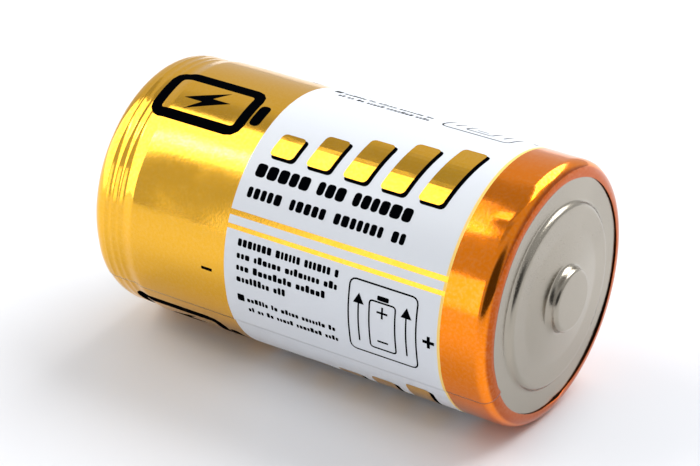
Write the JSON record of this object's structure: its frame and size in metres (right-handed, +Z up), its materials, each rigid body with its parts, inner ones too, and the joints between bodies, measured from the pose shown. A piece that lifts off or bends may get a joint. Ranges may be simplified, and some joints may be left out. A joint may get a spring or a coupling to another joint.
{
  "type": "cylindrical battery cell",
  "caption": "Size D alkaline cell with a printed film wrap, a can with a contact pip, a pressed negative cap, and the inner rings, separator, gel, nail and seal.",
  "frame": {"origin": "centre of the negative contact face, on the cell's axis", "axes": "+X along the cell's axis towards the positive contact pip; +Z up with the cell lying on its side"},
  "size_m": [0.061, 0.0332, 0.0332],
  "materials": {
    "label_print": "metallised film printed in gold, white and orange, glossy",
    "can_nickel": "nickel plate, satin",
    "cap_nickel": "nickel plate, satin",
    "cathode_mix": "pressed black powder, matt",
    "separator_paper": "soft non-woven sheet",
    "zinc_gel": "grey paste",
    "collector_brass": "drawn wire, bright",
    "washer_steel": "pressed, plain",
    "seal_nylon": "moulded nylon",
    "sealant": "bitumen, tacky"
  },
  "bodies": {
    "root": {"label_film": "label_print", "can": "can_nickel", "negative_cap": "cap_nickel", "separator_outer": "separator_paper", "separator_inner": "separator_paper", "separator_end_disc": "separator_paper", "collector_nail": "collector_brass", "anode_gel": "zinc_gel", "support_washer": "washer_steel", "seal_gasket": "seal_nylon", "sealant_ring": "sealant", "cathode_ring_1": "cathode_mix", "cathode_ring_2": "cathode_mix", "cathode_ring_3": "cathode_mix", "cathode_ring_4": "cathode_mix"}
  },
  "joints": []
}
